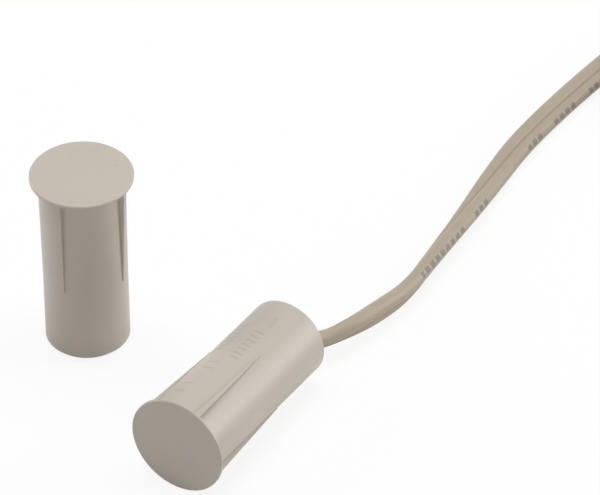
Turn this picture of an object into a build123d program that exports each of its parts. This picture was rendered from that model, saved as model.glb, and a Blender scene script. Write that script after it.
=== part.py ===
from build123d import *
import math
import os

# Recessed magnetic contact, in millimetres, +Z up.
# The magnet plug stands on its rear end, with the centre of that end at the origin.
# The reed-switch plug lies beside it on its flange's rim and its rear edge.
# Both plugs are drawn along their own axis: z = 0 at the flange's face, growing towards the rear,
# with x through the first crush rib.

# Plug moulding, the same for both plugs
plug_length = 22.9
barrel_radius = 4.75
barrel_draft = 0.12
flange_overhang = 1.05
flange_thickness = 0.35
flange_edge = 0.1
rear_edge = 0.3
mouth_chamfer = 0.2
side_wall = 0.9
front_wall = 1.0

# Crush ribs, from the flange back along the barrel
rib_count = 4
rib_length = 13.2
rib_root_width = 0.7
rib_crest_width = 0.6
rib_height = 0.62
rib_run_out = 0.16
rib_sink = 0.35

# Resin that closes both plugs
resin_dip = 0.3

# Magnet, which lies against the front wall with resin round it and behind it
magnet_side_gap = 0.675
magnet_rear_gap = 2.85
magnet_chamfer = 0.25

# Reed switch
glass_front_gap = 2.2
glass_rear_gap = 5.7
glass_radius = 1.1
glass_wall = 0.28
glass_seal = 2.3
glass_end_bevel = 0.75
glass_inner_bevel = 0.45
reed_offset = -1.4
lead_radius = 0.25
front_lead_reach = 1.7
rear_lead_reach = 2.0
lead_bury = 0.6
blade_width = 1.15
blade_thickness = 0.2
blade_overlap = 1.2
blade_gap = 0.1

# Flat twin cable; flat sides keep the cords' solids light
lobe_radius = 0.9
lobe_offset = 0.6
core_radius = 0.75
strand_radius = 0.25
strand_bend = 0.5
split_gap = 0.7
strip_setback = 1.2
strand_front_setback = 0.55
strand_gap = 0.1
rear_strand_reach = 1.5
cord_sides = 8

# Solder
solder_front_radius = 0.75
solder_rear_radius = 0.72
solder_length = 1.5
solder_rear_gap = 0.9
solder_edge = 0.3

# Places of the two plugs: angles in degrees, anticlockwise from +X seen from above
magnet_rib_angle = -28.0
switch_x = 10.2
switch_y = -25.9
switch_heading = 57.3
switch_roll = 25.0

# Cable from the switch plug to its coil
exit_straight = 2.2
cable_points = [
    (29.0, -2.9, 2.5),
    (32.4, 0.3, 1.8),
    (35.8, 4.5, 1.53),
    (39.1, 10.8, 1.53),
    (42.9, 18.0, 1.53),
    (46.5, 25.6, 1.53),
    (50.6, 33.0, 1.53),
    (58.2, 43.2, 1.53),
    (66.9, 53.0, 1.53),
]

# Coil of the cable's unseen length, lying flat
coil_x = 82.1
coil_y = 40.1
coil_inner_radius = 12.8
coil_turns_width = 8.2
coil_height = 3.2
coil_edge = 0.6

# Tie round the coil
tie_angle = 48.0
tie_width = 2.6
tie_thickness = 0.35
tie_proud = 0.2
tie_corner = 0.5
tie_tail_radius = 0.75
tie_tail_length = 6.0
tie_tail_edge = 0.4

# Split and stripped end of the cable, from the coil's centre
tail_a_points = [
    (10.6, -9.4, 1.6),
    (6.2, -8.6, 1.5),
    (1.6, -7.0, 1.0),
    (-2.2, -3.9, 0.95),
    (-4.1, 0.4, 0.95),
]
tail_b_points = [
    (9.8, -11.3, 1.6),
    (5.0, -10.9, 1.3),
    (0.4, -10.6, 0.95),
    (-4.2, -8.6, 0.95),
    (-7.5, -5.0, 0.95),
]
tail_radius = 0.86
tip_length = 5.0
tip_radius = 0.28
tip_edge = 0.12

bore_radius = barrel_radius - side_wall
barrel_front_radius = barrel_radius + barrel_draft
flange_radius = barrel_radius + flange_overhang
rib_end = flange_thickness + rib_length
resin_end = plug_length - resin_dip
magnet_end = plug_length - magnet_rear_gap
glass_start = front_wall + glass_front_gap
glass_end = plug_length - glass_rear_gap
glass_middle = (glass_start + glass_end) / 2
front_lead_start = glass_start - front_lead_reach
rear_lead_end = glass_end + rear_lead_reach
split_level = rear_lead_end + split_gap
core_start = glass_start + strip_setback
strand_front_level = front_lead_start + strand_front_setback


# Direction of an angle in the floor's plane
def floor_direction(angle):
    return Vector(math.cos(math.radians(angle)), math.sin(math.radians(angle)), 0)


# The lying plug touches the floor with the flange's rim and the barrel's rear edge
contact_span = plug_length - rear_edge - flange_thickness
switch_tilt = math.degrees(math.atan((flange_radius - barrel_radius) / contact_span))
tilt_cos = math.cos(math.radians(switch_tilt))
tilt_sin = math.sin(math.radians(switch_tilt))
switch_z = flange_radius * tilt_cos + flange_thickness * tilt_sin
heading = floor_direction(switch_heading)
sideways = floor_direction(switch_heading - 90)
switch_axis = heading * tilt_cos - Vector(0, 0, tilt_sin)
switch_top = heading * tilt_sin + Vector(0, 0, tilt_cos)
roll_cos = math.cos(math.radians(switch_roll))
roll_sin = math.sin(math.radians(switch_roll))
switch_x_axis = switch_top * roll_cos + sideways * roll_sin

magnet_frame = Plane(origin=(0, 0, plug_length), x_dir=floor_direction(magnet_rib_angle), z_dir=(0, 0, -1))
switch_frame = Plane(origin=(switch_x, switch_y, switch_z), x_dir=switch_x_axis, z_dir=switch_axis)


# One crush rib at angle 0: it is widest and highest at the flange and runs out along the barrel
def rib_section(level, surface_radius, share):
    root = rib_root_width * share / 2
    crest = rib_crest_width * share / 2
    top = surface_radius + rib_height * share
    foot = surface_radius - rib_sink
    outline = Polyline((foot, -root), (surface_radius, -root), (top, -crest), (top, crest),
                       (surface_radius, root), (foot, root), close=True)
    return Plane.XY.offset(level) * make_face(outline)


def rib():
    root = rib_section(flange_thickness / 2, barrel_front_radius, 1.0)
    tip = rib_section(rib_end, barrel_radius, rib_run_out)
    return loft([root, tip], ruled=True)


# Round edge of a revolved body at a level and a radius
def rim(body, level, radius):
    circles = body.edges().filter_by(GeomType.CIRCLE)
    return [e for e in circles if abs(e.center().Z - level) < 0.01 and abs(e.radius - radius) < 0.01]


# Moulded shell: front wall with flange, barrel with a little draft under the ribs, open rear
def housing():
    outline = Polyline(
        (0, 0), (flange_radius, 0), (flange_radius, flange_thickness),
        (barrel_front_radius, flange_thickness), (barrel_radius, rib_end),
        (barrel_radius, plug_length), (bore_radius, plug_length),
        (bore_radius, front_wall), (0, front_wall), close=True)
    profile = Plane.XZ * make_face(outline)
    shell = revolve(profile, Axis.Z)
    shell = chamfer(rim(shell, 0, flange_radius), flange_edge)
    shell = chamfer(rim(shell, plug_length, barrel_radius), rear_edge)
    shell = chamfer(rim(shell, plug_length, bore_radius), mouth_chamfer)
    for turn in range(rib_count):
        shell = shell + Rot(0, 0, 360 / rib_count * turn) * rib()
    return shell


# Column from one level to another, at a distance x from the axis
def column(radius, start, end, x=0.0):
    return Pos(x, 0, start) * Cylinder(radius, end - start, align=(Align.CENTER, Align.CENTER, Align.MIN))


def resin():
    return column(bore_radius, front_wall, resin_end)


# Magnet rod, against the front wall
def magnet_rod():
    rod = column(bore_radius - magnet_side_gap, front_wall, magnet_end)
    return chamfer(rod.edges().filter_by(GeomType.CIRCLE), magnet_chamfer)


# Outside of the glass, without its hollow
def glass_body():
    body = column(glass_radius, glass_start, glass_end, reed_offset)
    return chamfer(body.edges().filter_by(GeomType.CIRCLE), glass_end_bevel)


def glass_hollow():
    hollow = column(glass_radius - glass_wall, glass_start + glass_seal, glass_end - glass_seal, reed_offset)
    return chamfer(hollow.edges().filter_by(GeomType.CIRCLE), glass_inner_bevel)


# Blade with its lead: side is +1 or -1, the side of the gap that the blade lies on
def blade(lead_start, lead_end, blade_start, blade_end, side):
    low = blade_gap / 2 if side > 0 else -blade_gap / 2 - blade_thickness
    paddle = Pos(reed_offset, low + blade_thickness / 2, blade_start) * Box(
        blade_width, blade_thickness, blade_end - blade_start, align=(Align.CENTER, Align.CENTER, Align.MIN))
    return column(lead_radius, lead_start, lead_end, reed_offset) + paddle


def blade_front():
    seal = glass_start + glass_seal
    return blade(front_lead_start, seal + lead_bury, seal, glass_middle + blade_overlap / 2, 1)


def blade_rear():
    seal = glass_end - glass_seal
    return blade(seal - lead_bury, rear_lead_end, glass_middle - blade_overlap / 2, seal, -1)


# Long core of the split cable, which passes the glass
def core_insulation():
    return column(core_radius, core_start, split_level, lobe_offset)


# Stripped strands of the long core, turned over to the front lead
def strand_front():
    tip_x = reed_offset + lead_radius + strand_gap
    path = Polyline(
        (lobe_offset, 0, core_start), (lobe_offset, 0, strand_front_level + strand_bend),
        (lobe_offset - strand_bend, 0, strand_front_level), (tip_x, 0, strand_front_level))
    section = Plane(origin=(lobe_offset, 0, core_start), z_dir=(0, 0, -1)) * Circle(strand_radius)
    return sweep(section, path=path, transition=Transition.RIGHT)


def strand_rear():
    return column(strand_radius, split_level - rear_strand_reach, split_level, -lobe_offset)


# Drop of solder round a lead and the end of a strand
def solder(radius, start, x):
    drop = column(radius, start, start + solder_length, x)
    return chamfer(drop.edges().filter_by(GeomType.CIRCLE), solder_edge)


def solder_front():
    return solder(solder_front_radius, strand_front_level - solder_length / 2, reed_offset + lead_radius)


def solder_rear():
    return solder(solder_rear_radius, glass_end + solder_rear_gap, (reed_offset - lobe_offset) / 2)


# Angles between the runs of a route, in degrees
def turns(points):
    runs = [Vector(b) - Vector(a) for a, b in zip(points, points[1:])]
    return [a.get_angle(b) for a, b in zip(runs, runs[1:])]


# Each arc is as large as its two runs allow
def arc_radii(points):
    lengths = [(Vector(b) - Vector(a)).length for a, b in zip(points, points[1:])]
    radii = []
    for first, second, turn in zip(lengths, lengths[1:], turns(points)):
        radii.append(0.45 * min(first, second) / math.tan(math.radians(turn) / 2))
    return radii


def lay(name, points, section):
    radii = arc_radii(points)
    path = FilletPolyline(*points, radius=radii)
    body = sweep(section, path=path)
    print(name, "radii", [round(r, 1) for r in radii], "length", round(path.length, 1),
          "volume", round(body.volume, 1), "section times length", round(section.area * path.length, 1))
    return body


# Section of one round core, across its flats
def core_section(radius):
    return RegularPolygon(radius, cord_sides, major_radius=False, rotation=180 / cord_sides)


# Figure-eight section of the twin cable
def twin_section():
    lobe = core_section(lobe_radius)
    return Pos(lobe_offset, 0) * lobe + Pos(-lobe_offset, 0) * lobe


# Stretch of the cable that the resin holds, in the plug's own frame
def cable_root():
    return extrude(Plane.XY.offset(split_level) * twin_section(), plug_length - split_level)


def along_switch(level):
    return Vector(switch_x, switch_y, switch_z) + switch_axis * level


def cable():
    points = [tuple(along_switch(split_level)), tuple(along_switch(plug_length + exit_straight))] + cable_points
    plane = Plane(origin=points[0], x_dir=switch_x_axis, z_dir=switch_axis)
    return lay("cable", points, plane * twin_section())


coil_middle_radius = coil_inner_radius + coil_turns_width / 2
coil_place = Pos(coil_x, coil_y, 0)


# Rectangle with cut corners
def bevelled(width, height, corner):
    return chamfer(Rectangle(width, height).vertices(), corner)


def coil():
    outline = bevelled(coil_turns_width, coil_height, coil_edge)
    section = Plane.XZ * Pos(coil_middle_radius, coil_height / 2) * outline
    return coil_place * revolve(section, Axis.Z)


# Flat band that pinches the turns, with the twisted ends of the tie outside the coil
def tie():
    width = coil_turns_width + 2 * tie_proud
    height = coil_height + tie_proud
    outer = bevelled(width, height, tie_corner)
    inner = bevelled(width - 2 * tie_thickness, height - 2 * tie_thickness, tie_corner)
    band = Plane.XZ * Pos(coil_middle_radius, height / 2) * (outer - inner)
    loop = extrude(band, tie_width / 2, both=True)
    tail_start = coil_middle_radius + width / 2 - tie_thickness / 2
    tail = Pos(tail_start, 0, height / 2) * Rot(0, 90, 0) * Cylinder(
        tie_tail_radius, tie_tail_length, align=(Align.CENTER, Align.CENTER, Align.MIN))
    tail = chamfer(tail.edges().sort_by(Axis.X)[-1], tie_tail_edge)
    return coil_place * Rot(0, 0, tie_angle) * (loop + tail)


def tail_route(points):
    return [(x + coil_x, y + coil_y, z) for x, y, z in points]


def round_lead(name, points, radius):
    start = Vector(points[0])
    direction = Vector(points[1]) - start
    plane = Plane(origin=start, x_dir=Vector(0, 0, 1).cross(direction), z_dir=direction)
    return lay(name, points, plane * core_section(radius))


def tip(points):
    end = Vector(points[-1])
    direction = (end - Vector(points[-2])).normalized()
    plane = Plane(origin=end, z_dir=direction)
    body = extrude(plane * Circle(tip_radius), tip_length)
    far = body.edges().filter_by(GeomType.CIRCLE).sort_by_distance(end)[-1]
    return chamfer(far, tip_edge)


os.makedirs("parts", exist_ok=True)

magnet = magnet_rod()
magnet_pieces = {
    "magnet_housing": housing(),
    "magnet_rod": magnet,
    "magnet_potting": resin() - magnet,
}

front_blade = blade_front()
rear_blade = blade_rear()
core = core_insulation()
front_strand = strand_front()
rear_strand = strand_rear()
front_solder = solder_front() - front_blade - front_strand
rear_solder = solder_rear() - rear_blade - rear_strand
glass = glass_body()
switch_resin = resin()
held = (glass, front_blade, rear_blade, core, front_strand, rear_strand, front_solder, rear_solder, cable_root())
for piece in held:
    switch_resin = switch_resin - piece

switch_pieces = {
    "switch_housing": housing(),
    "switch_potting": switch_resin,
    "reed_glass": glass - glass_hollow() - front_blade - rear_blade,
    "reed_blade_front": front_blade,
    "reed_blade_rear": rear_blade,
    "core_insulation": core,
    "strand_front": front_strand,
    "strand_rear": rear_strand,
    "solder_front": front_solder,
    "solder_rear": rear_solder,
}

pieces = {name: magnet_frame.location * piece for name, piece in magnet_pieces.items()}
for name, piece in switch_pieces.items():
    pieces[name] = switch_frame.location * piece

coil_tie = tie()
whole_coil = coil()
pieces["cable"] = cable() - whole_coil
pieces["cable_coil"] = whole_coil - coil_tie
pieces["coil_tie"] = coil_tie

tail_a = tail_route(tail_a_points)
tail_b = tail_route(tail_b_points)
pieces["lead_tail_a"] = round_lead("tail a", tail_a, tail_radius) - whole_coil
pieces["lead_tail_b"] = round_lead("tail b", tail_b, tail_radius) - whole_coil
pieces["tinned_tip_a"] = tip(tail_a)
pieces["tinned_tip_b"] = tip(tail_b)

for name, piece in pieces.items():
    export_step(piece, f"parts/{name}.step")
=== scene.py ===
import math
import bpy
from mathutils import Matrix, Vector


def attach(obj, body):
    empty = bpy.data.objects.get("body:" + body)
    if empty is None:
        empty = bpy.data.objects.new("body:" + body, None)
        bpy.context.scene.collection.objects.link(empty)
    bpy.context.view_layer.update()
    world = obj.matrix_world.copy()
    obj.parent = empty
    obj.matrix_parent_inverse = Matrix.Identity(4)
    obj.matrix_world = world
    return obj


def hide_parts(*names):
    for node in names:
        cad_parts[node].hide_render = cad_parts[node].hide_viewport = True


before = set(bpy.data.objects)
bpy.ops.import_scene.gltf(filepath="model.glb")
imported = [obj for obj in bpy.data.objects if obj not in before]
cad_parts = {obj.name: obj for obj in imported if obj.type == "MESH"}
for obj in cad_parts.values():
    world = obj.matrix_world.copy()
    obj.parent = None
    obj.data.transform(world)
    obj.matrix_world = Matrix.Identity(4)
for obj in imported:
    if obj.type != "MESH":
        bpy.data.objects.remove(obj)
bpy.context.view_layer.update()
print("frame loaded with", len(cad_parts), "nodes")


# in the pieces' dictionaries lengths are in mm and angles in degrees, unless a note says otherwise

def mm(x, y, z):
    return Vector((x, y, z)) / 1000


def pick(piece):
    bpy.ops.object.select_all(action="DESELECT")
    piece.select_set(True)
    bpy.context.view_layer.objects.active = piece


# each plug is described along its own axis: from the flange to the rear, with x through the first rib
switchPlug = {"facePoint": (10.2, -25.9, 5.810), "heading": 57.3, "tilt": 2.702, "roll": 25.0}
magnetPlug = {"facePoint": (0, 0, 22.9), "ribAngle": -28.0}


def plugMatrix(facePoint, across, axis):
    turn = Matrix((across, axis.cross(across), axis)).transposed().to_4x4()
    return Matrix.Translation(mm(*facePoint)) @ turn


def switchMatrix():
    head, tilt, roll = (math.radians(switchPlug[name]) for name in ("heading", "tilt", "roll"))
    ahead = Vector((math.cos(head), math.sin(head), 0))
    right = Vector((math.sin(head), -math.cos(head), 0))
    axis = ahead * math.cos(tilt) - Vector((0, 0, math.sin(tilt)))
    top = ahead * math.sin(tilt) + Vector((0, 0, math.cos(tilt)))
    across = top * math.cos(roll) + right * math.sin(roll)
    return plugMatrix(switchPlug["facePoint"], across, axis)


def magnetMatrix():
    angle = math.radians(magnetPlug["ribAngle"])
    across = Vector((math.cos(angle), math.sin(angle), 0))
    return plugMatrix(magnetPlug["facePoint"], across, Vector((0, 0, -1)))


# nodes for the materials

def newMaterial(name):
    material = bpy.data.materials.new(name)
    material.use_nodes = True
    nodes = material.node_tree.nodes
    return material, nodes, material.node_tree.links, nodes["Principled BSDF"]


def objectPlace(nodes):
    return nodes.new("ShaderNodeTexCoord").outputs["Object"]


def noiseNode(nodes, links, source, scale, detail=3.0):
    noise = nodes.new("ShaderNodeTexNoise")
    noise.inputs["Scale"].default_value = scale
    noise.inputs["Detail"].default_value = detail
    links.new(source, noise.inputs["Vector"])
    return noise.outputs["Fac"]


def rampNode(nodes, links, source, stops, steps=False):
    ramp = nodes.new("ShaderNodeValToRGB")
    if steps:
        ramp.color_ramp.interpolation = "CONSTANT"
    for stop, (place, colour) in zip(ramp.color_ramp.elements, (stops[0], stops[-1])):
        stop.position = place
        stop.color = (*colour, 1)
    for place, colour in stops[1:-1]:
        ramp.color_ramp.elements.new(place).color = (*colour, 1)
    links.new(source, ramp.inputs["Fac"])
    return ramp.outputs["Color"]


def rangeNode(nodes, links, source, given, wanted):
    spread = nodes.new("ShaderNodeMapRange")
    spread.inputs["From Min"].default_value, spread.inputs["From Max"].default_value = given
    spread.inputs["To Min"].default_value, spread.inputs["To Max"].default_value = wanted
    links.new(source, spread.inputs["Value"])
    return spread.outputs["Result"]


def bumpNode(nodes, links, height, distance, strength, below=None):
    bump = nodes.new("ShaderNodeBump")
    bump.inputs["Distance"].default_value = distance
    bump.inputs["Strength"].default_value = strength
    links.new(height, bump.inputs["Height"])
    if below:
        links.new(below, bump.inputs["Normal"])
    return bump.outputs["Normal"]


def fillSocket(links, value, socket):
    if isinstance(value, bpy.types.NodeSocket):
        links.new(value, socket)
    else:
        socket.default_value = value


def tintNode(nodes, links, share, base, tint):
    mix = nodes.new("ShaderNodeMix")
    mix.data_type = "RGBA"
    for value, name in ((share, "Factor"), (base, "A"), ((*tint, 1), "B")):
        fillSocket(links, value, mix.inputs[name])
    return mix.outputs["Result"]


def mathNode(nodes, links, kind, *values):
    node = nodes.new("ShaderNodeMath")
    node.operation = kind
    for value, socket in zip(values, node.inputs):
        fillSocket(links, value, socket)
    return node.outputs["Value"]


def product(nodes, links, first, *others):
    for other in others:
        first = mathNode(nodes, links, "MULTIPLY", first, other)
    return first


def distanceFrom(nodes, links, value, place):
    return mathNode(nodes, links, "ABSOLUTE", mathNode(nodes, links, "SUBTRACT", value, place))


def oneMinus(nodes, links, value):
    return mathNode(nodes, links, "SUBTRACT", 1.0, value)


def closeness(nodes, links, distance, reach):
    # 1 at no distance, falling to 0 at the reach and beyond
    share = mathNode(nodes, links, "DIVIDE", distance, reach)
    return mathNode(nodes, links, "MAXIMUM", oneMinus(nodes, links, share), 0.0)


noiseSpread = (0.1, 0.9)  # nearly all of a noise lies in this range, so nothing is cut off flat
patchStops = (0.3, 0.7)  # closer together, for clearer patches of the deep and the pale tone


def toneColour(nodes, links, noise, look, stops=patchStops):
    return rampNode(nodes, links, noise, list(zip(stops, (look["deep"], look["pale"]))))


def setRoughness(nodes, links, shader, noise, wanted):
    links.new(rangeNode(nodes, links, noise, noiseSpread, wanted), shader.inputs["Roughness"])


def letLightIn(shader, weight, depth):
    shader.inputs["Subsurface Weight"].default_value = weight
    shader.inputs["Subsurface Scale"].default_value = depth


# moulded plastic; here and below a bump is its height in m and its strength
plasticLook = {
    "pale": (0.526, 0.476, 0.414),
    "deep": (0.492, 0.443, 0.384),
    "toneScale": 110,
    "toneDetail": 8.0,
    "roughness": (0.34, 0.40),
    "speck": (0.30, 0.24, 0.17),
    "speckShare": 0.6,
    "speckScale": 230,
    "speckSize": 0.05,  # of a cell
    "speckAbove": 0.55,  # a cell whose random value is lower has none
    "speckBump": (0.00005, 0.5),
    "waveScale": 260,
    "waveBump": (0.00003, 0.2),
    "grainScale": 1500,
    "grainBump": (0.000004, 0.2),
    # painted shade for the sunk strokes
    "engravedAndShaded": (0.33, 0.29, 0.235),
    "strokeShadeShare": 0.42,
    "engravedBump": (0.00005, 0.3),
    "lightWeight": 0.06,
    "lightDepth": 0.0006,  # in m
}

# shallow plain strokes on the lying plug, sunk and darkened with painted shade: degrees from the first rib,
# half height in degrees,
# start and end along the plug, stroke spacing and stroke width
strokeRows = [
    (-51, 9, 3.6, 6.7, 1.55, 0.26),
    (-44, 9, 8.4, 9.9, 1.25, 0.26),
    (-55, 8, 12.3, 17.6, 0.82, 0.24),
    (-24, 7, 11.2, 17.1, 0.86, 0.26),
    (-20, 3, 17.9, 19.7, 0.40, 0.16),
]


def plugStrokes(nodes, links, place):
    matrix = switchMatrix()
    offset = nodes.new("ShaderNodeVectorMath")
    offset.operation = "SUBTRACT"
    links.new(place, offset.inputs[0])
    offset.inputs[1].default_value = matrix.translation
    parts = []
    for axis in range(3):
        dot = nodes.new("ShaderNodeVectorMath")
        dot.operation = "DOT_PRODUCT"
        links.new(offset.outputs["Vector"], dot.inputs[0])
        dot.inputs[1].default_value = matrix.col[axis].xyz
        parts.append(dot.outputs["Value"])
    turn = mathNode(nodes, links, "ARCTAN2", parts[1], parts[0])
    turn = mathNode(nodes, links, "MULTIPLY", turn, 180 / math.pi)
    along = mathNode(nodes, links, "MULTIPLY", parts[2], 1000.0)
    total = 0.0
    for angle, half, start, end, spacing, width in strokeRows:
        high = mathNode(nodes, links, "COMPARE", turn, float(angle), float(half))
        inRow = mathNode(nodes, links, "COMPARE", along, (start + end) / 2, (end - start) / 2)
        step = mathNode(nodes, links, "WRAP", along, start + spacing, start)
        stroke = mathNode(nodes, links, "LESS_THAN", step, start + width)
        total = mathNode(nodes, links, "ADD", total, product(nodes, links, high, inRow, stroke))
    return total


def specks(nodes, links, place):
    # a few small sunk spots, darker in colour, one in some of the cells
    cells = nodes.new("ShaderNodeTexVoronoi")
    cells.inputs["Scale"].default_value = plasticLook["speckScale"]
    links.new(place, cells.inputs["Vector"])
    near = closeness(nodes, links, cells.outputs["Distance"], plasticLook["speckSize"])
    parts = nodes.new("ShaderNodeSeparateColor")
    links.new(cells.outputs["Color"], parts.inputs["Color"])
    some = mathNode(nodes, links, "GREATER_THAN", parts.outputs["Red"], plasticLook["speckAbove"])
    return mathNode(nodes, links, "MULTIPLY", near, some)


def housingPlastic(name, engravedAndShaded):
    material, nodes, links, shader = newMaterial(name)
    place = objectPlace(nodes)
    tone = noiseNode(nodes, links, place, plasticLook["toneScale"], plasticLook["toneDetail"])
    base = toneColour(nodes, links, tone, plasticLook, noiseSpread)
    setRoughness(nodes, links, shader, tone, plasticLook["roughness"])
    speck = specks(nodes, links, place)
    faint = mathNode(nodes, links, "MULTIPLY", speck, plasticLook["speckShare"])
    base = tintNode(nodes, links, faint, base, plasticLook["speck"])
    wave = noiseNode(nodes, links, place, plasticLook["waveScale"], 0.0)
    relief = bumpNode(nodes, links, wave, *plasticLook["waveBump"])
    relief = bumpNode(nodes, links, oneMinus(nodes, links, speck), *plasticLook["speckBump"], relief)
    if engravedAndShaded:
        strokes = plugStrokes(nodes, links, place)
        # painted shade: the sunk strokes are darkened in the colour as well as by the bump
        faint = mathNode(nodes, links, "MULTIPLY", strokes, plasticLook["strokeShadeShare"])
        base = tintNode(nodes, links, faint, base, plasticLook["engravedAndShaded"])
        relief = bumpNode(nodes, links, oneMinus(nodes, links, strokes), *plasticLook["engravedBump"], relief)
    links.new(base, shader.inputs["Base Color"])
    grain = noiseNode(nodes, links, place, plasticLook["grainScale"], 0.0)
    links.new(bumpNode(nodes, links, grain, *plasticLook["grainBump"], relief), shader.inputs["Normal"])
    letLightIn(shader, plasticLook["lightWeight"], plasticLook["lightDepth"])
    return material


# cable's sheath: the marks' pitch, run, groups and turn are in m along the cable, their sides and half
# width are shares of the way round it, and the painted groove shade's place and width are shares of half that
# way
sheathLook = {
    "pale": (0.402, 0.342, 0.262),
    "deep": (0.376, 0.318, 0.240),
    "toneScale": 260,
    "roughness": (0.40, 0.50),
    "grainScale": 1900,
    "grainDetail": 2.0,
    "grainBump": (0.00002, 0.3),
    "lightWeight": 0.08,
    "lightDepth": 0.0006,  # in m
    # painted shade down in the grooves, darker and yellower than the sheath
    "groove": (0.275, 0.205, 0.115),
    "grooveAt": 0.9,
    "grooveWidth": 0.18,
    "groovePower": 1.6,
    "ink": (0.115, 0.115, 0.105),
    "markPitch": 0.00119,
    "markShare": 0.66,
    "markRun": 0.075,
    "markGroups": [(0.0226, 0.0331), (0.0357, 0.0392), (0.0499, 0.0534), (0.0558, 0.0605), (0.0631, 0.0676)],
    "markTurn": (0.031, 0.052),
    "markSides": (0.158, 0.272),
    "markHalfWidth": 0.037,
    "markStrength": 0.6,
}


def cableSheath(name, marked):
    material, nodes, links, shader = newMaterial(name)
    place = objectPlace(nodes)
    tone = noiseNode(nodes, links, place, sheathLook["toneScale"])
    base = toneColour(nodes, links, tone, sheathLook)
    if marked:
        along, around = lengthwiseCoordinates(nodes, links)
        # painted shade in the grooves, then the printed marks
        base = tintNode(nodes, links, paintedGrooveShade(nodes, links, around), base, sheathLook["groove"])
        base = tintNode(nodes, links, printedMarks(nodes, links, along, around), base, sheathLook["ink"])
    links.new(base, shader.inputs["Base Color"])
    setRoughness(nodes, links, shader, tone, sheathLook["roughness"])
    grain = noiseNode(nodes, links, place, sheathLook["grainScale"], sheathLook["grainDetail"])
    links.new(bumpNode(nodes, links, grain, *sheathLook["grainBump"]), shader.inputs["Normal"])
    letLightIn(shader, sheathLook["lightWeight"], sheathLook["lightDepth"])
    return material


def lengthwiseCoordinates(nodes, links):
    # the cable's own map: U is the way along it in metres, V the way round it from 0 to 1
    uv = nodes.new("ShaderNodeUVMap")
    uv.uv_map = "lengthwise"
    split = nodes.new("ShaderNodeSeparateXYZ")
    links.new(uv.outputs["UV"], split.inputs["Vector"])
    return split.outputs["X"], split.outputs["Y"]


def paintedGrooveShade(nodes, links, around):
    # painted shade: the sheath is darker and yellower down in the two grooves, which lie half a turn apart
    half = mathNode(nodes, links, "FRACT", mathNode(nodes, links, "MULTIPLY", around, 2.0))
    off = distanceFrom(nodes, links, half, sheathLook["grooveAt"])
    near = closeness(nodes, links, off, sheathLook["grooveWidth"])
    return mathNode(nodes, links, "POWER", near, sheathLook["groovePower"])


def printedMarks(nodes, links, along, around):
    # plain dashes in groups, which come again along the cable
    step = mathNode(nodes, links, "FRACT", mathNode(nodes, links, "DIVIDE", along, sheathLook["markPitch"]))
    dash = mathNode(nodes, links, "LESS_THAN", step, sheathLook["markShare"])
    cycle = mathNode(nodes, links, "FRACT", mathNode(nodes, links, "DIVIDE", along, sheathLook["markRun"]))
    stops = [(0.0, (0, 0, 0))]
    for start, end in sheathLook["markGroups"]:
        stops.append((start / sheathLook["markRun"], (1, 1, 1)))
        stops.append((end / sheathLook["markRun"], (0, 0, 0)))
    group = rampNode(nodes, links, cycle, stops, steps=True)
    side = rangeNode(nodes, links, along, sheathLook["markTurn"], sheathLook["markSides"])
    off = distanceFrom(nodes, links, around, side)
    band = mathNode(nodes, links, "LESS_THAN", off, sheathLook["markHalfWidth"])
    return product(nodes, links, dash, band, group, sheathLook["markStrength"])


# finishes that one noise tones, roughens and raises; stretch draws it out along the piece
resinLook = {
    "deep": (0.37, 0.32, 0.25),
    "pale": (0.44, 0.39, 0.31),
    "stops": (0.35, 0.65),
    "scale": 420,
    "roughness": (0.18, 0.32),
    "bump": (0.00006, 0.3),
}
tinnedLook = {
    "deep": (0.58, 0.55, 0.50),
    "pale": (0.72, 0.70, 0.66),
    "scale": 1800,
    "roughness": (0.24, 0.375),
    "bump": (0.00001, 0.2),
    "Metallic": 1.0,
}
solderLook = {
    "deep": (0.55, 0.55, 0.57),
    "pale": (0.66, 0.66, 0.67),
    "scale": 900,
    "roughness": (0.176, 0.275),
    "bump": (0.00001, 0.2),
    "Metallic": 1.0,
}
bladeLook = {
    "deep": (0.50, 0.49, 0.47),
    "pale": (0.62, 0.60, 0.57),
    "scale": 1800,
    "stretch": (1, 1, 0.2),
    "roughness": (0.224, 0.35),
    "bump": (0.00001, 0.2),
    "Metallic": 1.0,
}
magnetLook = {
    "deep": (0.24, 0.24, 0.25),
    "pale": (0.34, 0.34, 0.35),
    "scale": 1800,
    "stretch": (1, 1, 0.15),
    "roughness": (0.304, 0.475),
    "bump": (0.00001, 0.2),
    "Metallic": 1.0,
}
glassLook = {
    "deep": (0.60, 0.76, 0.60),
    "pale": (0.68, 0.80, 0.66),
    "scale": 300,
    "roughness": (0.04, 0.09),
    "Transmission Weight": 1.0,
    "IOR": 1.5,
}
paperLook = {
    "deep": (0.66, 0.65, 0.61),
    "pale": (0.78, 0.77, 0.74),
    "scale": 2200,
    "detail": 5.0,
    "roughness": (0.68, 0.82),
    "bump": (0.00004, 0.5),
}


def plainFinish(name, look):
    material, nodes, links, shader = newMaterial(name)
    place = objectPlace(nodes)
    if "stretch" in look:
        mapping = nodes.new("ShaderNodeMapping")
        mapping.inputs["Scale"].default_value = look["stretch"]
        links.new(place, mapping.inputs["Vector"])
        place = mapping.outputs["Vector"]
    tone = noiseNode(nodes, links, place, look["scale"], look.get("detail", 3.0))
    base = toneColour(nodes, links, tone, look, look.get("stops", patchStops))
    links.new(base, shader.inputs["Base Color"])
    setRoughness(nodes, links, shader, tone, look["roughness"])
    if "bump" in look:
        links.new(bumpNode(nodes, links, tone, *look["bump"]), shader.inputs["Normal"])
    for socketName in ("Metallic", "Transmission Weight", "IOR"):
        if socketName in look:
            shader.inputs[socketName].default_value = look[socketName]
    return material


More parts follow.
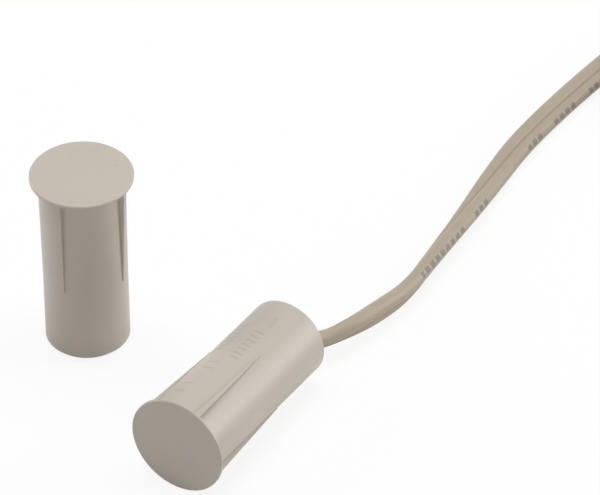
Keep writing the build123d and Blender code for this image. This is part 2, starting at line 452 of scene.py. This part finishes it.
plastic = housingPlastic("housingPlastic", False)
sheath = cableSheath("cableSheath", False)
markedSheath = cableSheath("markedSheath", True)
resin = plainFinish("pottingResin", resinLook)
tinned = plainFinish("tinnedCopper", tinnedLook)
solder = plainFinish("solder", solderLook)
bladeMetal = plainFinish("reedBlade", bladeLook)
paper = plainFinish("tiePaper", paperLook)

nodeFinish = {
    "magnet_housing": plastic,
    "switch_housing": housingPlastic("engravedShadedPlastic", True),
    "magnet_potting": resin,
    "switch_potting": resin,
    "magnet_rod": plainFinish("magnetAlloy", magnetLook),
    "reed_glass": plainFinish("reedGlass", glassLook),
    "reed_blade_front": bladeMetal,
    "reed_blade_rear": bladeMetal,
    "core_insulation": sheath,
    "strand_front": tinned,
    "strand_rear": tinned,
    "solder_front": solder,
    "solder_rear": solder,
}
for nodeName, finish in nodeFinish.items():
    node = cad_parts[nodeName]
    node.data.materials.clear()
    node.data.materials.append(finish)
print("materials made and given to", len(nodeFinish), "CAD nodes")


# sweeps along splines

def splineCurve(name, points, resolution):
    curve = bpy.data.curves.new(name, "CURVE")
    curve.dimensions = "3D"
    curve.twist_mode = "Z_UP"
    spline = curve.splines.new("NURBS")
    spline.points.add(len(points) - 1)
    for control, (place, tilt) in zip(spline.points, points):
        control.co = (*place, 1)
        control.tilt = tilt
    spline.order_u = 3
    spline.use_endpoint_u = True
    spline.resolution_u = resolution
    curve.use_fill_caps = True
    piece = bpy.data.objects.new(name, curve)
    bpy.context.scene.collection.objects.link(piece)
    return piece


def outlineCurve(name, loops):
    curve = bpy.data.curves.new(name, "CURVE")
    curve.dimensions = "2D"
    for loop in loops:
        spline = curve.splines.new("POLY")
        spline.points.add(len(loop) - 1)
        for point, (x, y) in zip(spline.points, loop):
            point.co = (x / 1000, y / 1000, 0, 1)
        spline.use_cyclic_u = True
    outline = bpy.data.objects.new(name, curve)
    bpy.context.scene.collection.objects.link(outline)
    return outline


def circleLoop(radius, sides):
    angles = [2 * math.pi * i / sides for i in range(sides)]
    return [(radius * math.cos(angle), radius * math.sin(angle)) for angle in angles]


def sweep(route, loops):
    outline = outlineCurve("outline", loops)
    route.data.bevel_mode = "OBJECT"
    route.data.bevel_object = outline
    pick(route)
    bpy.ops.object.convert(target="MESH")
    bpy.data.objects.remove(outline)


weldDistance = 0.000001  # in m


def closeMesh(piece, smoothAngle):
    # weld the ends' caps, point the faces outwards and smooth
    pick(piece)
    bpy.ops.object.mode_set(mode="EDIT")
    bpy.ops.mesh.select_all(action="SELECT")
    bpy.ops.mesh.remove_doubles(threshold=weldDistance)
    bpy.ops.mesh.normals_make_consistent(inside=False)
    bpy.ops.object.mode_set(mode="OBJECT")
    bpy.ops.object.shade_smooth_by_angle(angle=math.radians(smoothAngle))


def finishPiece(piece, slot, finish, *replaced):
    piece.data.materials.clear()
    piece.data.materials.append(finish)
    if replaced:
        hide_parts(*replaced)
    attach(piece, "root")


def movedCopy(piece, name, matrix):
    copy = piece.copy()
    copy.data = piece.data.copy()
    copy.name = name
    copy.data.transform(matrix)
    bpy.context.scene.collection.objects.link(copy)
    return copy


def joinPieces(pieces, name):
    bpy.ops.object.select_all(action="DESELECT")
    for piece in pieces:
        piece.select_set(True)
    bpy.context.view_layer.objects.active = pieces[0]
    bpy.ops.object.join()
    pieces[0].name = name
    return pieces[0]


# flat twin cable: each route point has the angle of the cable's width above the floor, on the heading's right
twinCable = {
    "lobeRadius": 0.90,
    "lobeOffset": 0.60,
    "lobeEdge": 125,
    "lobeSteps": 24,
    "grooveSteps": 5,
    "exit": (22.57, -6.63, 4.73),
    "length": 0.45,  # in m
    "route": [
        (20.94, -9.17, 4.87, 65),
        (23.13, -6.62, 4.09, 65),
        (25.94, -4.80, 2.25, 45),
        (29.48, -2.56, 2.38, 62),
        (32.37, 0.29, 2.04, 80.5),
        (35.80, 4.41, 1.49, 66),
        (39.15, 10.75, 1.45, 56.5),
        (42.95, 17.88, 1.29, 36),
        (46.22, 24.63, 1.09, 1),
        (50.03, 31.87, 1.10, -18),
        (58.04, 42.78, 1.14, -21),
        (67.38, 53.53, 1.38, -45),
    ],
    "coilCentre": (82.1, 40.1),
    "coilRadius": 20.1,
    "coilStart": 137,
    "coilAngle": -90,
    "coilSteps": 48,
    "turnPitch": 1.85,
    "pointsPerTurn": 14,
    "coilLevel": 1.53,
    "tieAngle": 48.0,  # where the tie holds the coil
    "liftAtTie": 0.3,
    "liftPower": 6,
    "resolution": 12,
    "smoothAngle": 60,
}


def routeLine(piece):
    # the route's own line, from the spline with no bevel
    bare = piece.data.copy()
    bare.bevel_mode = "ROUND"
    bare.bevel_depth = 0
    holder = bpy.data.objects.new("bareRoute", bare)
    mesh = bpy.data.meshes.new_from_object(holder)
    line = [vertex.co.copy() for vertex in mesh.vertices]
    bpy.data.meshes.remove(mesh)
    bpy.data.objects.remove(holder)
    bpy.data.curves.remove(bare)
    return line


def twinLoop():
    # two round cores that meet in a web, with a rounded groove on each side
    radius, offset, steps = twinCable["lobeRadius"], twinCable["lobeOffset"], twinCable["lobeSteps"]
    edge = math.radians(twinCable["lobeEdge"])
    angles = [edge * (2 * i / steps - 1) for i in range(steps + 1)]
    half = [(offset + radius * math.cos(a), radius * math.sin(a)) for a in angles]
    endX, endY = half[-1]
    slope = -1 / math.tan(edge)
    for step in range(1, twinCable["grooveSteps"] + 1):
        x = endX * (1 - 2 * step / (twinCable["grooveSteps"] + 1))
        half.append((x, endY + slope * (x * x - endX * endX) / (2 * endX)))
    return half + [(-x, -y) for x, y in half]


def coilPoint(turn, outward):
    radius = (twinCable["coilRadius"] - twinCable["turnPitch"] * turn) * outward
    angle = math.radians(twinCable["coilStart"] - 360 * turn)
    nearTie = max(0, math.cos(angle - math.radians(twinCable["tieAngle"]))) ** twinCable["liftPower"]
    level = twinCable["coilLevel"] + nearTie * twinCable["liftAtTie"]
    cx, cy = twinCable["coilCentre"]
    return mm(cx + radius * math.cos(angle), cy + radius * math.sin(angle), level)


def lengthwiseMap(cable, line, around):
    # U is the way along the cable in metres and V the way round it
    along = [0.0]
    for a, b in zip(line, line[1:]):
        along.append(along[-1] + (b - a).length)
    mesh = cable.data
    capCorners = len(mesh.vertices) - around * len(line)
    layer = mesh.uv_layers.new(name="lengthwise")
    for face in mesh.polygons:
        spots = [max(0, mesh.loops[corner].vertex_index - capCorners) for corner in face.loop_indices]
        ways = [spot % around for spot in spots]
        seam = max(ways) - min(ways) > around / 2
        for corner, spot, way in zip(face.loop_indices, spots, ways):
            if seam and way < around / 2:
                way += around
            layer.data[corner].uv = (along[spot // around], way / around)
    return along[-1]


def makeTwinCable():
    # the spline is tilted the other way round from the angles
    points = [(mm(x, y, z), -math.radians(angle)) for x, y, z, angle in twinCable["route"]]
    onEdge = -math.radians(twinCable["coilAngle"])
    # a quadratic spline runs inside its control points, so they stand out a little, all but the last
    perTurn = twinCable["pointsPerTurn"]
    for step in range(1, twinCable["coilSteps"] + 1):
        points.append((coilPoint(step / perTurn, 1 / math.cos(math.pi / perTurn)), onEdge))
    points.append((coilPoint((twinCable["coilSteps"] + 0.5) / perTurn, 1), onEdge))
    cable = splineCurve("twinCable", points, twinCable["resolution"])
    line = routeLine(cable)
    loop = twinLoop()
    sweep(cable, [loop])
    length = lengthwiseMap(cable, line, len(loop))
    closeMesh(cable, twinCable["smoothAngle"])
    print("cable centreline", round(length, 4), "m in", len(line), "rings")
    return cable, line


cable, cableLine = makeTwinCable()
finishPiece(cable, "cable_sheath", markedSheath, "cable", "cable_coil")


# split and stripped end of the cable: x and y from the coil's centre, z above the floor
leadTails = {
    "radius": 0.89,
    "sides": 28,
    "resolution": 10,
    "smoothAngle": 50,
    "a": [(11.99, -6.61, 2.13), (10.6, -9.0, 2.13), (8.2, -10.5, 2.06), (5.6, -10.3, 1.75), (3.0, -8.6, 1.3),
          (0.3, -5.9, 0.95), (-2.3, -2.8, 0.9), (-4.1, 0.4, 0.9)],
    "b": [(11.99, -6.61, 0.93), (10.6, -9.0, 0.93), (8.6, -11.2, 0.92), (5.7, -12.3, 0.9), (2.4, -12.0, 0.9),
          (-1.0, -10.6, 0.9), (-4.4, -8.2, 0.9), (-7.5, -5.0, 0.9)],
}
tinnedTip = {
    "strandRadius": 0.1,
    "strandSides": 10,
    "ringRadius": 0.19,
    "strands": 6,
    "length": 4.9,
    "sunk": 0.6,
    "turnLength": 5.5,
    "stepsPerTurn": 12,
    "woundResolution": 4,
    "straightResolution": 2,
    "smoothAngle": 50,
}


def fromCoil(point):
    cx, cy = twinCable["coilCentre"]
    return mm(point[0] + cx, point[1] + cy, point[2])


def makeTail(letter):
    points = [(fromCoil(point), 0.0) for point in leadTails[letter]]
    tail = splineCurve("leadTail_" + letter, points, leadTails["resolution"])
    sweep(tail, [circleLoop(leadTails["radius"], leadTails["sides"])])
    closeMesh(tail, leadTails["smoothAngle"])
    finishPiece(tail, "cable_sheath", sheath, "lead_tail_" + letter)
    return tail


def makeStrandBundle():
    # one straight strand with six wound round it, along +X
    start, reach = -tinnedTip["sunk"], tinnedTip["length"] + tinnedTip["sunk"]
    loop = circleLoop(tinnedTip["strandRadius"], tinnedTip["strandSides"])
    straight = [(mm(start + reach * i / 2, 0, 0), 0.0) for i in range(3)]
    centre = splineCurve("strandCentre", straight, tinnedTip["straightResolution"])
    sweep(centre, [loop])
    ring, turnLength = tinnedTip["ringRadius"], tinnedTip["turnLength"]
    count = round(tinnedTip["stepsPerTurn"] * reach / turnLength)
    helix = []
    for i in range(count + 1):
        x = reach * i / count
        angle = 2 * math.pi * x / turnLength
        helix.append((mm(start + x, ring * math.cos(angle), ring * math.sin(angle)), 0.0))
    first = splineCurve("strandWound", helix, tinnedTip["woundResolution"])
    sweep(first, [loop])
    turns = [2 * math.pi * i / tinnedTip["strands"] for i in range(1, tinnedTip["strands"])]
    wound = [movedCopy(first, "strandWound", Matrix.Rotation(turn, 4, "X")) for turn in turns]
    bundle = joinPieces([centre, first] + wound, "strandBundle")
    closeMesh(bundle, tinnedTip["smoothAngle"])
    return bundle


def placeTip(bundle, letter):
    end, before = fromCoil(leadTails[letter][-1]), fromCoil(leadTails[letter][-2])
    turn = (end - before).to_track_quat("X", "Z").to_matrix().to_4x4()
    tip = movedCopy(bundle, "tinnedTip_" + letter, Matrix.Translation(end) @ turn)
    finishPiece(tip, "tinned_copper", tinned, "tinned_tip_" + letter)
    return tip


tails = [makeTail(letter) for letter in ("a", "b")]
strandBundle = makeStrandBundle()
tips = [placeTip(strandBundle, letter) for letter in ("a", "b")]
bpy.data.objects.remove(strandBundle)
print("cable and its stripped end made")


# tie round the coil: a paper ribbon with a wire along its middle, twisted shut outside the turns
wireTie = {
    "width": 2.3,
    "paper": 0.14,
    "wireRadius": 0.2,
    "ridgeSteps": 4,
    "ridgeSpread": 1.6,
    "inner": 12.98,
    "outer": 20.82,
    "low": 0.22,
    "high": 3.24,
    "corner": 0.85,
    "cornerSteps": 6,
    "endLength": 6.2,
    "endTurns": 1.75,
    "pointsPerTurn": 12,
    "resolution": 5,
    "smoothAngle": 50,
}


def ribbonLoop(offset):
    # across the ribbon: x is its thickness, y its width, and the wire swells both faces
    half, paperHalf, ridge = wireTie["width"] / 2, wireTie["paper"] / 2, wireTie["wireRadius"]
    steps = wireTie["ridgeSteps"]
    side = [(paperHalf, -half)]
    for i in range(-steps, steps + 1):
        swell = 0.5 + 0.5 * math.cos(math.pi * i / steps)
        side.append((paperHalf + (ridge - paperHalf) * swell, ridge * wireTie["ridgeSpread"] * i / steps))
    side.append((paperHalf, half))
    return [(x + offset, y) for x, y in side] + [(offset - x, -y) for x, y in side]


def tieLoopPoints():
    # rounded box round the turns, seen along the cable
    corner = wireTie["corner"]
    centreX, centreY = (wireTie["inner"] + wireTie["outer"]) / 2, (wireTie["low"] + wireTie["high"]) / 2
    halfWidth = (wireTie["outer"] - wireTie["inner"]) / 2 - corner
    halfHeight = (wireTie["high"] - wireTie["low"]) / 2 - corner
    points = []
    for quarter, (sideX, sideY) in enumerate(((1, 1), (-1, 1), (-1, -1), (1, -1))):
        for step in range(wireTie["cornerSteps"] + 1):
            angle = math.radians(90 * quarter + 90 * step / wireTie["cornerSteps"])
            points.append((centreX + sideX * halfWidth + corner * math.cos(angle),
                           centreY + sideY * halfHeight + corner * math.sin(angle)))
    return points


def tieMatrix():
    cx, cy = twinCable["coilCentre"]
    return Matrix.Translation(mm(cx, cy, 0)) @ Matrix.Rotation(math.radians(twinCable["tieAngle"]), 4, "Z")


def makeWireTie():
    band = outlineCurve("wireTie", [tieLoopPoints()])
    sweep(band, [ribbonLoop(0)])
    band.data.transform(Matrix.Rotation(math.radians(90), 4, "X"))
    count = round(wireTie["endTurns"] * wireTie["pointsPerTurn"])
    level = (wireTie["low"] + wireTie["high"]) / 2
    points = []
    for i in range(count + 1):
        share = i / count
        points.append((mm(wireTie["outer"] + wireTie["endLength"] * share, 0, level),
                       math.radians(90 + 360 * wireTie["endTurns"] * share)))
    ends = splineCurve("tieEnds", points, wireTie["resolution"])
    sweep(ends, [ribbonLoop(wireTie["wireRadius"]), ribbonLoop(-wireTie["wireRadius"])])
    tie = joinPieces([band, ends], "wireTie")
    tie.data.transform(tieMatrix())
    closeMesh(tie, wireTie["smoothAngle"])
    finishPiece(tie, "tie_paper", paper, "coil_tie")
    return tie


tie = makeWireTie()
print("tie made")


# poured resin's own surface: it creeps up the bore's wall and up the cable
resinSkin = {
    "radius": 3.845,
    "level": 22.6,
    "depth": 0.16,
    "rings": 30,
    "sides": 80,
    "wallRise": 0.17,
    "wallWidth": 0.26,
    "cableRise": 0.26,
    "cableWidth": 0.24,
    "cableAt": (-0.36, 0.69),
    "cableTurn": 6.0,
    "sag": 0.05,
    "smoothAngle": 50,
}


def skinRise(x, y, roundCable):
    radius = math.hypot(x, y)
    rise = resinSkin["wallRise"] * math.exp((radius - resinSkin["radius"]) / resinSkin["wallWidth"])
    rise -= resinSkin["sag"] * (1 - (radius / resinSkin["radius"]) ** 2) - resinSkin["sag"]
    if roundCable:
        place = Vector((x, y)) - Vector(resinSkin["cableAt"])
        place.rotate(Matrix.Rotation(-math.radians(resinSkin["cableTurn"]), 2))
        toCores = [math.hypot(place.x - side * twinCable["lobeOffset"], place.y) for side in (1, -1)]
        gap = min(toCores) - twinCable["lobeRadius"]
        rise += resinSkin["cableRise"] * math.exp(-max(gap, 0) / resinSkin["cableWidth"])
    return rise


def makeResinSkin(name, matrix, roundCable):
    radius = resinSkin["radius"] / 1000
    bpy.ops.object.select_all(action="DESELECT")
    bpy.ops.mesh.primitive_cylinder_add(vertices=resinSkin["sides"], radius=radius,
                                        depth=resinSkin["depth"] / 1000)
    skin = bpy.context.object
    skin.name = name
    bpy.ops.object.mode_set(mode="EDIT")
    bpy.ops.mesh.select_all(action="DESELECT")
    bpy.ops.object.mode_set(mode="OBJECT")
    # the top face is inset into rings, which then follow the resin's rise
    for face in skin.data.polygons:
        face.select = face.normal.z > 0.9
    bpy.ops.object.mode_set(mode="EDIT")
    for ring in range(resinSkin["rings"] - 1):
        bpy.ops.mesh.inset(thickness=radius / resinSkin["rings"])
    bpy.ops.mesh.poke()
    bpy.ops.object.mode_set(mode="OBJECT")
    for vertex in skin.data.vertices:
        if vertex.co.z > 0:
            vertex.co.z = skinRise(vertex.co.x * 1000, vertex.co.y * 1000, roundCable) / 1000
    skin.data.transform(matrix @ Matrix.Translation(mm(0, 0, resinSkin["level"])))
    closeMesh(skin, resinSkin["smoothAngle"])
    finishPiece(skin, "potting_resin", resin)


makeResinSkin("switchResinSkin", switchMatrix(), True)
makeResinSkin("magnetResinSkin", magnetMatrix(), False)
print("resin surfaces made")

# floor and light: lengths are in m, apart from the point that the lamps aim at
studio = {
    "floorSize": 3.0,
    "floorDrop": 0.00008,  # just under the plugs, so that no two faces share a place
    "floorColour": (0.93, 0.93, 0.93),
    "floorRoughness": 0.9,
    "floorShare": 0.87,  # how far the seen floor is plain white
    "fill": 0.295,  # the world's strength as a light
    "lampAim": (25, 5, 5),
    "lamps": [
        # name, place, width, height, and power in watts
        ("topLamp", (0.02, 0.10, 0.55), 0.50, 0.30, 1.90),
        ("rightLamp", (0.55, 0.05, 0.20), 0.24, 0.45, 1.35),
        ("leftLamp", (-0.50, 0.27, 0.22), 0.12, 0.40, 0.95),
    ],
}
camera = {
    "target": (23.9, 14.2, 0),
    "elevation": 40.0,
    "roll": -0.82,
    "distance": 712.5,
    "lens": 375.2,
    "sensor": 36,
    "clip": (0.01, 10),  # in m
}


def makeFloor():
    bpy.ops.object.select_all(action="DESELECT")
    bpy.ops.mesh.primitive_plane_add(size=studio["floorSize"], location=(0, 0, -studio["floorDrop"]))
    floor = bpy.context.object
    floor.name = "floor"
    material, nodes, links, shader = newMaterial("paleFloor")
    shader.inputs["Base Color"].default_value = (*studio["floorColour"], 1)
    shader.inputs["Roughness"].default_value = studio["floorRoughness"]
    glow = nodes.new("ShaderNodeEmission")
    glow.inputs["Strength"].default_value = 1.0
    seen = nodes.new("ShaderNodeLightPath").outputs["Is Camera Ray"]
    share = mathNode(nodes, links, "MULTIPLY", seen, studio["floorShare"])
    mix = nodes.new("ShaderNodeMixShader")
    links.new(share, mix.inputs["Fac"])
    links.new(shader.outputs["BSDF"], mix.inputs[1])
    links.new(glow.outputs["Emission"], mix.inputs[2])
    links.new(mix.outputs["Shader"], nodes["Material Output"].inputs["Surface"])
    floor.data.materials.append(material)


def makeWorld():
    # white where it is seen, reflected or looked through to, and dimmer as a light
    world = bpy.data.worlds.new("studioWorld")
    bpy.context.scene.world = world
    world.use_nodes = True
    nodes, links = world.node_tree.nodes, world.node_tree.links
    background = nodes["Background"]
    background.inputs["Color"].default_value = (1.0, 1.0, 1.0, 1)
    rays = nodes.new("ShaderNodeLightPath").outputs
    seen = mathNode(nodes, links, "MAXIMUM", rays["Is Camera Ray"], rays["Is Transmission Ray"])
    seen = mathNode(nodes, links, "MAXIMUM", seen, rays["Is Glossy Ray"])
    lift = mathNode(nodes, links, "MULTIPLY", seen, 1 - studio["fill"])
    links.new(mathNode(nodes, links, "ADD", lift, studio["fill"]), background.inputs["Strength"])


def makeLamp(name, place, width, height, watts):
    light = bpy.data.lights.new(name, "AREA")
    light.shape = "RECTANGLE"
    light.size, light.size_y, light.energy = width, height, watts
    lamp = bpy.data.objects.new(name, light)
    bpy.context.scene.collection.objects.link(lamp)
    aim = mm(*studio["lampAim"]) - Vector(place)
    lamp.matrix_world = Matrix.Translation(place) @ aim.to_track_quat("-Z", "Y").to_matrix().to_4x4()


def makeCamera():
    up, roll = math.radians(camera["elevation"]), math.radians(camera["roll"])
    back = Vector((0, -math.cos(up), math.sin(up)))
    right, above = Vector((1, 0, 0)), Vector((0, math.sin(up), math.cos(up)))
    across = right * math.cos(roll) + above * math.sin(roll)
    top = above * math.cos(roll) - right * math.sin(roll)
    lens = bpy.data.cameras.new("photoCamera")
    lens.lens, lens.sensor_width = camera["lens"], camera["sensor"]
    lens.clip_start, lens.clip_end = camera["clip"]
    holder = bpy.data.objects.new("photoCamera", lens)
    bpy.context.scene.collection.objects.link(holder)
    turn = Matrix((across, top, back)).transposed().to_4x4()
    place = mm(*camera["target"]) + back * camera["distance"] / 1000
    holder.matrix_world = Matrix.Translation(place) @ turn
    bpy.context.scene.camera = holder


makeFloor()
makeWorld()
for lampValues in studio["lamps"]:
    makeLamp(*lampValues)
makeCamera()
bpy.context.scene.view_settings.view_transform = "Standard"
print("floor, light and camera set")
